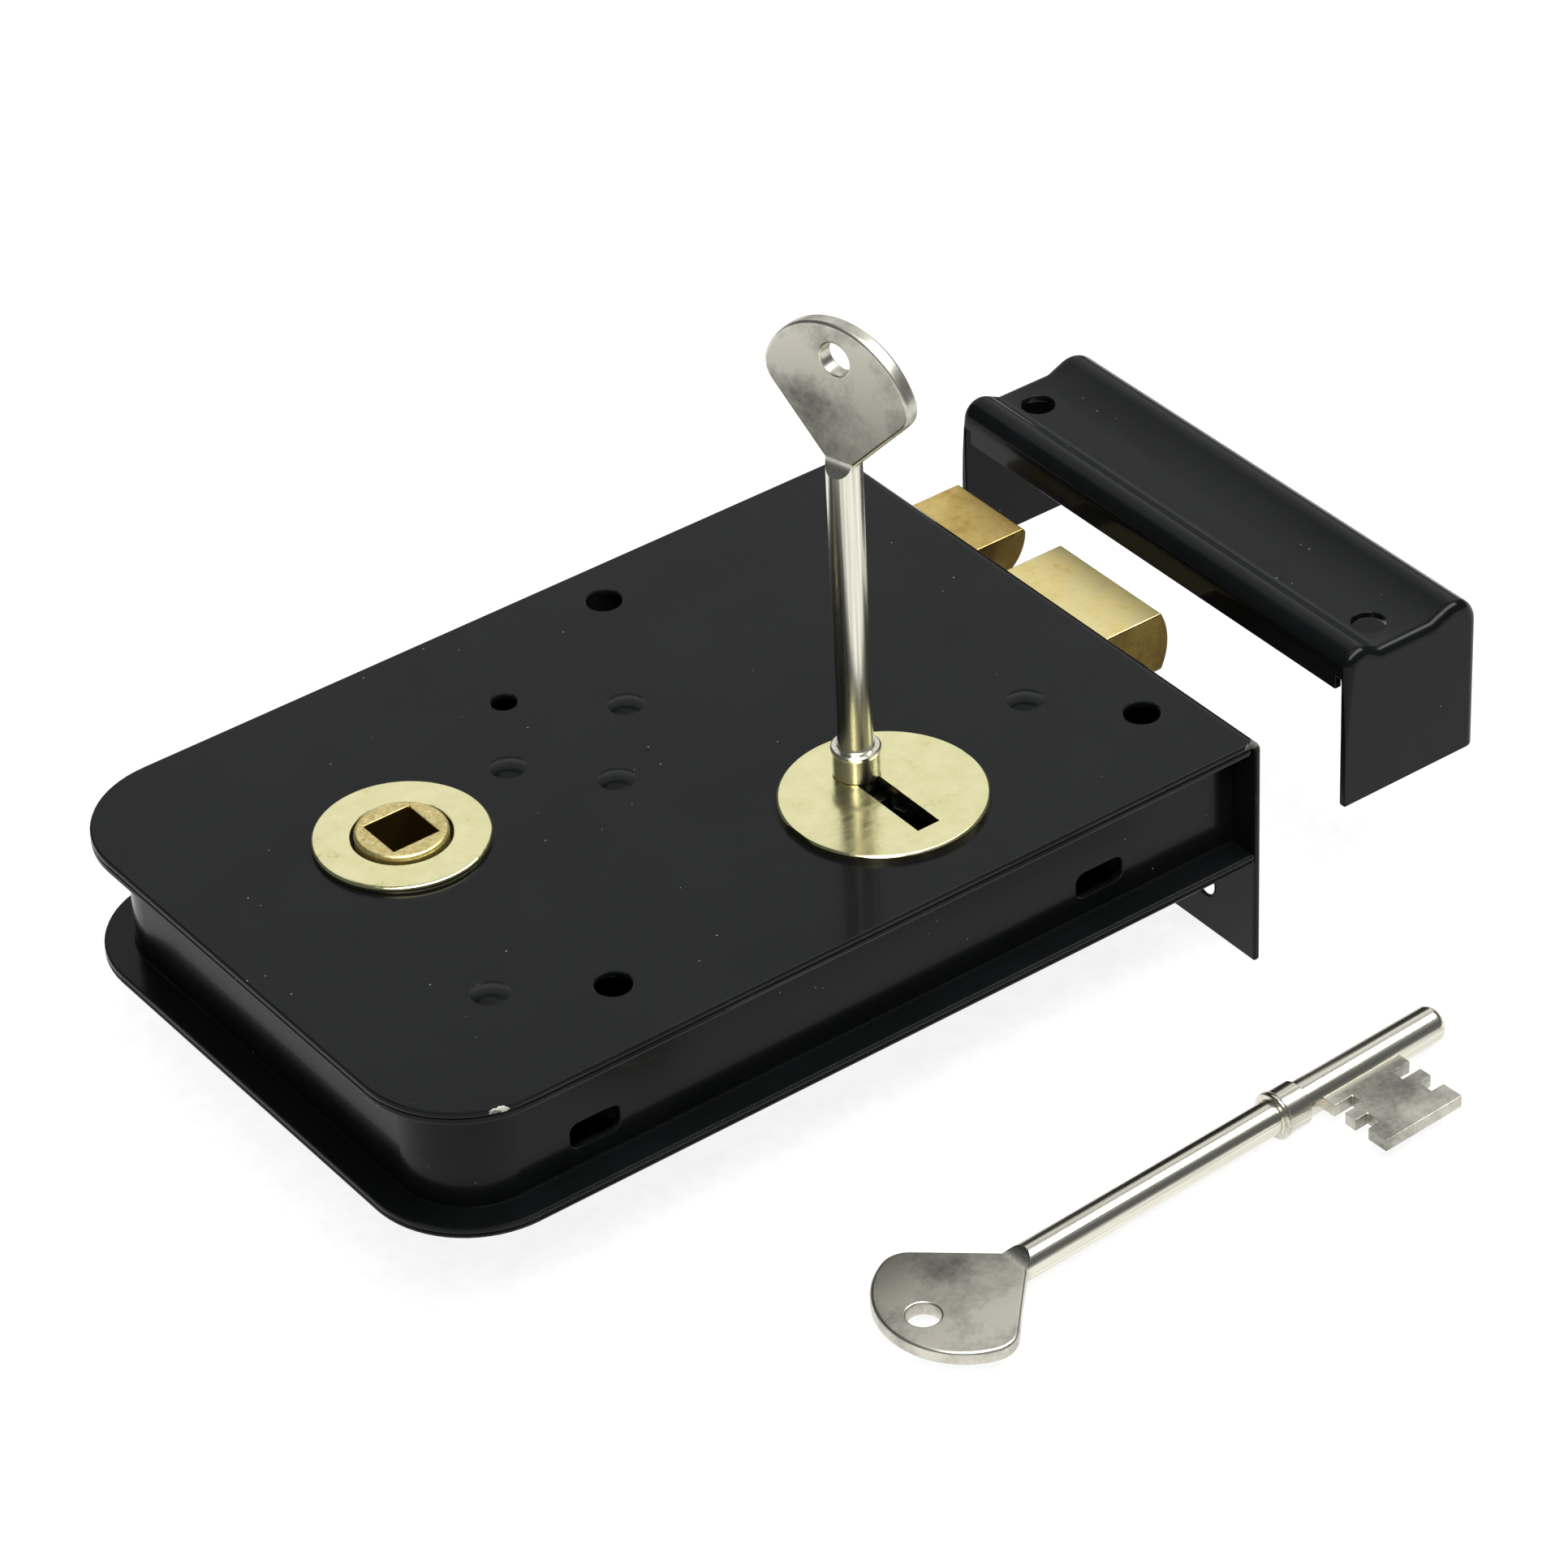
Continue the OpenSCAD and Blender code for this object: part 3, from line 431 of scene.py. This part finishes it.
def sheet_disc(name, radius, place, thick, sides=48):
    """A disc cut from plate that stands on edge, its flat sides towards -X and +X."""
    x, y, z = place
    piece = disc(name, radius, (x - thick / 2, y, z), (0, math.radians(90), 0), sides)
    edit(piece)
    grow(thick, axis=(1, 0, 0))
    close(turn_out=True)
    return piece


def cut(piece, place, normal):
    """Cuts off what lies on the side that the normal points to, and closes the cut."""
    edit(piece)
    bpy.ops.mesh.bisect(
        plane_co=Vector(place) * MM,
        plane_no=Vector(normal).normalized(),
        use_fill=True,
        clear_outer=True,
        threshold=1e-7,
    )
    close()


def combine(piece, other, operation):
    """Joins or cuts a piece with another one, which is used up."""
    only(piece)
    tool = piece.modifiers.new("combine", "BOOLEAN")
    tool.operation = operation
    tool.solver = "EXACT"
    tool.object = other
    bpy.ops.object.modifier_apply(modifier=tool.name)
    bpy.data.objects.remove(other, do_unlink=True)


def clean_faces(piece, angle=0.5):
    """Merges doubled points and joins the triangles of each flat face."""
    edit(piece)
    bpy.ops.mesh.remove_doubles(threshold=SAME_POINT * MM)
    bpy.ops.mesh.dissolve_limited(angle_limit=math.radians(angle))
    close()


def bevel(piece, width, segments=2, clamp=False):
    """Gives a piece a modifier that rounds its sharp edges."""
    tool = piece.modifiers.new("edges", "BEVEL")
    tool.width = width * MM
    tool.segments = segments
    tool.limit_method = "ANGLE"
    tool.angle_limit = math.radians(40)
    tool.use_clamp_overlap = clamp


def keep_flats_plane(piece):
    """Gives a piece a modifier that keeps its large flat faces plane in smooth shading."""
    tool = piece.modifiers.new("normals", "WEIGHTED_NORMAL")
    tool.keep_sharp = True


def round_edges(piece, width, segments=2):
    """Rounds all sharp edges of a new piece."""
    bevel(piece, width, segments)
    apply_modifiers(piece)


def shade(piece, angle=32):
    """Shades a new piece smooth, its large flat faces kept plane."""
    only(piece)
    bpy.ops.object.shade_smooth_by_angle(angle=math.radians(angle))
    keep_flats_plane(piece)
    apply_modifiers(piece)


def soften(piece, width):
    """Rounds a pressed or cast piece's edges, so that they catch the light as real ones do."""
    weld = piece.modifiers.new("join", "WELD")
    weld.merge_threshold = SAME_POINT * MM
    flats = piece.modifiers.new("flats", "DECIMATE")
    flats.decimate_type = "DISSOLVE"
    flats.angle_limit = math.radians(0.8)
    # the key escutcheon's tips beside its flats are too thin for the whole width
    bevel(piece, width, clamp=piece.name == "key_escutcheon")
    keep_flats_plane(piece)


def add_piece(name, mesh):
    """A new piece with a mesh of its own."""
    piece = bpy.data.objects.new(name, mesh.copy())
    bpy.context.scene.collection.objects.link(piece)
    return piece


def copy_of(node_name, name):
    """A copy of a CAD node, merged, to shape further."""
    piece = add_piece(name, frame["nodes"][node_name].data)
    clean_faces(piece)
    return piece


def round_chosen(piece, width, segments, chosen):
    """Rounds the edges that chosen(a, b) picks by the places of their ends, in millimetres."""
    edit(piece, "DESELECT")
    bpy.ops.mesh.select_mode(type="EDGE")
    close()
    points = [v.co / MM for v in piece.data.vertices]
    for edge in piece.data.edges:
        edge.select = chosen(*(points[i] for i in edge.vertices))
    bpy.ops.object.mode_set(mode="EDIT")
    bpy.ops.mesh.bevel(offset=width * MM, segments=segments, affect="EDGES", clamp_overlap=False)
    close()


def box_mm(node_name):
    """A CAD node's lowest and highest corners, in millimetres."""
    return [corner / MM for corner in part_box(node_name)]


def both_at(a, b, level):
    """Whether two numbers are both at a level, within the tolerance."""
    return abs(a - level) < NEAR and abs(b - level) < NEAR


def stand_in(piece, node_name, body, material):
    """Puts a finished piece in the place of a CAD node."""
    piece.data.materials.clear()
    piece.data.materials.append(material)
    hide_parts(node_name)
    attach(piece, body)


def pressed_keep():
    """The keep, its end walls bent down from the top with a soft outer radius."""
    low, high = box_mm("keep")
    ridge_foot = high.z - KEEP_RIDGE_H

    def on_end_bend(a, b):
        at_end = both_at(a.y, b.y, low.y) or both_at(a.y, b.y, high.y)
        on_top = min(a.z, b.z) > ridge_foot - 0.1
        on_back = min(a.x, b.x) > high.x - NEAR
        return at_end and (on_top or on_back)

    keep = copy_of("keep", "pressed_keep")
    round_chosen(keep, KEEP_BEND_R, BEND_SEGMENTS, on_end_bend)
    round_edges(keep, KEEP_EDGE_R)
    shade(keep, 40)
    return keep


def pressed_wall():
    """The rim wall, with the slots' corners rounded at the tongues too."""
    low, high = box_mm("face_plate")
    ends = (low.x + SLOT_END_FROM_REAR, high.x - SLOT_END_FROM_FOREND)

    def at_tongue(a, b):
        level = both_at(a.z, b.z, SLOT_LOW) or both_at(a.z, b.z, SLOT_HIGH)
        return level and any(both_at(a.x, b.x, end) for end in ends)

    wall = copy_of("rim_wall", "pressed_rim_wall")
    round_chosen(wall, SLOT_CORNER_R, BEND_SEGMENTS, at_tongue)
    soften(wall, WALL_EDGE_R)
    apply_modifiers(wall)
    return wall


def key_shank():
    """Pin with a rounded tip, collar with a lip, and a shank scooped out on both sides to meet the bow."""
    stations = [(-PIN_LEN, PIN_R - PIN_ROUND)]
    for degrees in range(15, 105, 15):
        a = math.radians(degrees)
        height = -PIN_LEN + PIN_ROUND * (1 - math.cos(a))
        stations.append((height, PIN_R - PIN_ROUND * (1 - math.sin(a))))
    stations += [(0, PIN_R), (0.02, COLLAR_R - 0.3), (0.3, COLLAR_R), (COLLAR_H - 1, COLLAR_R)]
    stations += [(COLLAR_H - 0.95, LIP_R - 0.1), (COLLAR_H - 0.75, LIP_R), (COLLAR_H - 0.3, LIP_R)]
    stations += [(COLLAR_H - 0.05, LIP_R - 0.25), (COLLAR_H, SHANK_R + 0.15), (COLLAR_H + 0.15, SHANK_R)]
    shank = turned("key_shank", stations + [(NECK_Z + 0.9, SHANK_R)])
    for side in (1, -1):
        cutter = turned("cutter", [(-SHANK_R - 1, SCOOP_R), (SHANK_R + 1, SCOOP_R)])
        cutter.rotation_euler = (math.radians(90), 0, 0)
        cutter.location = Vector((side * (WEB_HALF + SCOOP_R), 0, NECK_Z + SCOOP_RISE)) * MM
        apply_place(cutter)
        combine(shank, cutter, "DIFFERENCE")
    return shank


def bow_blank():
    """The flat outline of the bow: a wide arc on top, two round shoulders, straight flanks to the neck."""
    # the shoulders touch the wide arc from inside and the flanks run down at 45 degrees to the neck
    offset = NECK_HALF - BOW_SIDE_R * math.sqrt(2)
    span = BOW_R - BOW_SIDE_R
    half_sum = (offset - BOW_RISE) ** 2 - 2 * (offset**2 + BOW_RISE**2 - span**2)
    side_rise = (BOW_RISE - offset + math.sqrt(half_sum)) / 2
    side_out = side_rise + offset
    middle = (0, 0, NECK_Z + BOW_RISE)
    blank = sheet_disc("key_bow", BOW_R, middle, BOW_T, 120)
    for side in (1, -1):
        cut(blank, middle, (0, side * (side_rise - BOW_RISE), -side_out))
    parts = [block("neck", (-BOW_T / 2, -NECK_HALF, NECK_Z - 0.5), (BOW_T / 2, NECK_HALF, NECK_Z))]
    for side in (1, -1):
        parts.append(sheet_disc("shoulder", BOW_SIDE_R, (0, side * side_out, NECK_Z + side_rise), BOW_T))
    only(blank)
    for part in parts:
        part.select_set(True)
    bpy.ops.object.join()
    edit(blank)
    bpy.ops.mesh.convex_hull()
    close(turn_out=True)
    clean_faces(blank)
    return blank


def key_bow():
    """Bow with a rounded rim, a hole with rounded edges, and a tang that goes down into the shank."""
    hole_z = NECK_Z + BOW_HOLE_RISE

    def on_hole_rim(a, b):
        on_face = both_at(abs(a.x), abs(b.x), BOW_T / 2) and abs(a.x - b.x) < NEAR
        reach = [math.hypot(p.y, p.z - hole_z) for p in (a, b)]
        return on_face and both_at(*reach, BOW_HOLE_R)

    bow = bow_blank()
    round_edges(bow, BOW_EDGE_R, segments=4)
    tang = Vector((TANG_T / 2, TANG_HALF, 0))
    foot, head = Vector((0, 0, NECK_Z - TANG_LEN)), Vector((0, 0, NECK_Z + TANG_RISE))
    combine(bow, block("tang", foot - tang, head + tang), "UNION")
    combine(bow, sheet_disc("hole", BOW_HOLE_R, (0, 0, hole_z), 2 * BOW_T), "DIFFERENCE")
    clean_faces(bow, 0.2)
    round_chosen(bow, BOW_HOLE_EDGE_R, 3, on_hole_rim)
    return bow


def key_bit():
    """Plate with two ward notches in its upper edge and two in its lower edge."""
    low = BIT_TOP - BIT_H
    bit = block("key_bit", (-BIT_T / 2, -BIT_REACH, low), (BIT_T / 2, 0, BIT_TOP))
    for near, far, depth in BIT_NOTCHES:
        for z0, z1 in ((BIT_TOP - depth, BIT_TOP + 1), (low - 1, low + depth)):
            combine(bit, block("notch", (-BIT_T, -far, z0), (BIT_T, -near, z1)), "DIFFERENCE")
    round_edges(bit, BIT_EDGE_R)
    return bit


def whole_key(name):
    """Shank, bow and bit in one piece, in the key's own frame."""
    key = key_shank()
    key.name = name
    combine(key, key_bow(), "UNION")
    combine(key, key_bit(), "UNION")
    clean_faces(key, 0.2)
    shade(key)
    return key


def paper_floor():
    """The paper that the object stands on, a hair below it."""
    bpy.ops.object.select_all(action="DESELECT")
    bpy.ops.mesh.primitive_plane_add(size=FLOOR_SIZE)
    floor = bpy.context.object
    floor.name = "paper_floor"
    floor.location = Vector(OBJECT_MIDDLE) + Vector((0, 0, FLOOR_Z - FLOOR_GAP))
    apply_place(floor)
    floor.data.materials.append(studio_paper())


def softbox(name, place, width, height, watts):
    """A soft rectangular lamp that points at the object."""
    light = bpy.data.lights.new(name, "AREA")
    light.shape = "RECTANGLE"
    light.size, light.size_y = width, height
    light.energy = watts
    lamp = bpy.data.objects.new(name, light)
    bpy.context.scene.collection.objects.link(lamp)
    lamp.location = place
    aim = Vector(OBJECT_MIDDLE) - Vector(place)
    lamp.rotation_euler = aim.to_track_quat("-Z", "Y").to_euler()


def studio_room():
    """The faint even light of the room."""
    world = bpy.data.worlds.new("studio")
    bpy.context.scene.world = world
    world.use_nodes = True
    feed(world.node_tree, world.node_tree.nodes["Background"], Color=ROOM_COLOUR, Strength=ROOM_STRENGTH)


def photo_camera():
    """The camera at the photograph's viewing angle."""
    camera_data = bpy.data.cameras.new("camera")
    camera = bpy.data.objects.new("camera", camera_data)
    bpy.context.scene.collection.objects.link(camera)
    turn = Matrix((CAMERA_RIGHT, CAMERA_UP, CAMERA_BACK)).transposed().to_4x4()
    camera.matrix_world = Matrix.Translation(CAMERA_PLACE) @ turn
    camera_data.sensor_width = SENSOR_WIDTH
    camera_data.lens = FOCAL_PX / IMAGE_PX * SENSOR_WIDTH
    camera_data.shift_x = SHIFT_X
    camera_data.shift_y = SHIFT_Y
    camera_data.clip_start = 0.01
    bpy.context.scene.camera = camera


# where the two keys lie: the one in the lock on its joint, turned on from the slot, where its travel starts
key_x, key_y, _ = joints["key_turn"]["pos_m"]
key_place = Vector((key_x, key_y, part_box("key_escutcheon")[1].z))
key_tilt = (0, 0, math.radians(-joints["key_turn"]["range_deg"][0]))
spare_place = Vector((SPARE_X, SPARE_Y, FLOOR_Z + LIP_R * MM))
spare_tilt = (0, math.radians(-90), math.radians(SPARE_TURN))

enamel = stoved_enamel()
sheet_brass = lacquered_brass()
# the same brass for both bolts, in paler tones for the dead bolt and darker ones for the latch bolt
bar_brass = bolt_brass("paler_bar_brass", ("#c0aa6c", "#dccb8c", "#e6d99f", "#eee3b1"))
darker_brass = bolt_brass("darker_bar_brass", ("#977f45", "#b59b5a", "#c8b170", "#d6c385"))
cast_brass = follower_brass()
# the key in the lock gets painted shade on its pin and bit, for the dark inside of the lock; the spare gets
# none
key_nickel = nickel_plate("nickel_plated_key", key_place, key_tilt, painted_lock_shade=0.94)
spare_nickel = nickel_plate("nickel_plated_spare_key", spare_place, spare_tilt, painted_lock_shade=0.0)
steel = mill_steel()

# the finish of each CAD node that shows, where it isn't steel, and the rounding of its edges (mm)
FINISHES = {
    "face_plate": enamel,
    "back_plate": enamel,
    "spacer_posts": enamel,
    "lever_post": enamel,
    "spring_post": enamel,
    "spindle_escutcheon": sheet_brass,
    "key_escutcheon": sheet_brass,
    "follower": cast_brass,
    "latch_bolt": darker_brass,
    "dead_bolt": bar_brass,
    "lever_1": sheet_brass,
    "lever_2": sheet_brass,
    "bolt_stump": bar_brass,
    "latch_rivets": bar_brass,
    "bolt_rivets": bar_brass,
}
EDGES = {
    "face_plate": 0.35,
    "back_plate": 0.35,
    "spindle_escutcheon": 0.2,
    "key_escutcheon": 0.2,
    "follower": 0.2,
    "latch_bolt": 0.2,
    "dead_bolt": 0.2,
}

for name, piece in frame["nodes"].items():
    piece.data.materials.clear()
    piece.data.materials.append(FINISHES.get(name, steel))
    if name in EDGES:
        soften(piece, EDGES[name])

stand_in(pressed_keep(), "keep", "case", enamel)
stand_in(pressed_wall(), "rim_wall", "case", enamel)

# the latch's coil spring, copied from its CAD node, shaded and given a mesh of its own
spring = copy_of("latch_spring", "coiled_wire_spring")
shade(spring, 50)
stand_in(spring, "latch_spring", "case", steel)
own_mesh(spring)

# the key is modelled once and copied
spare = whole_key("spare_key_cast")
key = add_piece("key_cast", spare.data)
for piece, place, tilt in ((key, key_place, key_tilt), (spare, spare_place, spare_tilt)):
    piece.location = place
    piece.rotation_euler = tilt
    apply_place(piece)
stand_in(key, "key", "key", key_nickel)
stand_in(spare, "spare_key", "case", spare_nickel)

paper_floor()
for box in SOFTBOXES:
    softbox(*box)
studio_room()
photo_camera()
bpy.context.scene.view_settings.view_transform = "Standard"
bpy.context.scene.view_settings.look = "None"
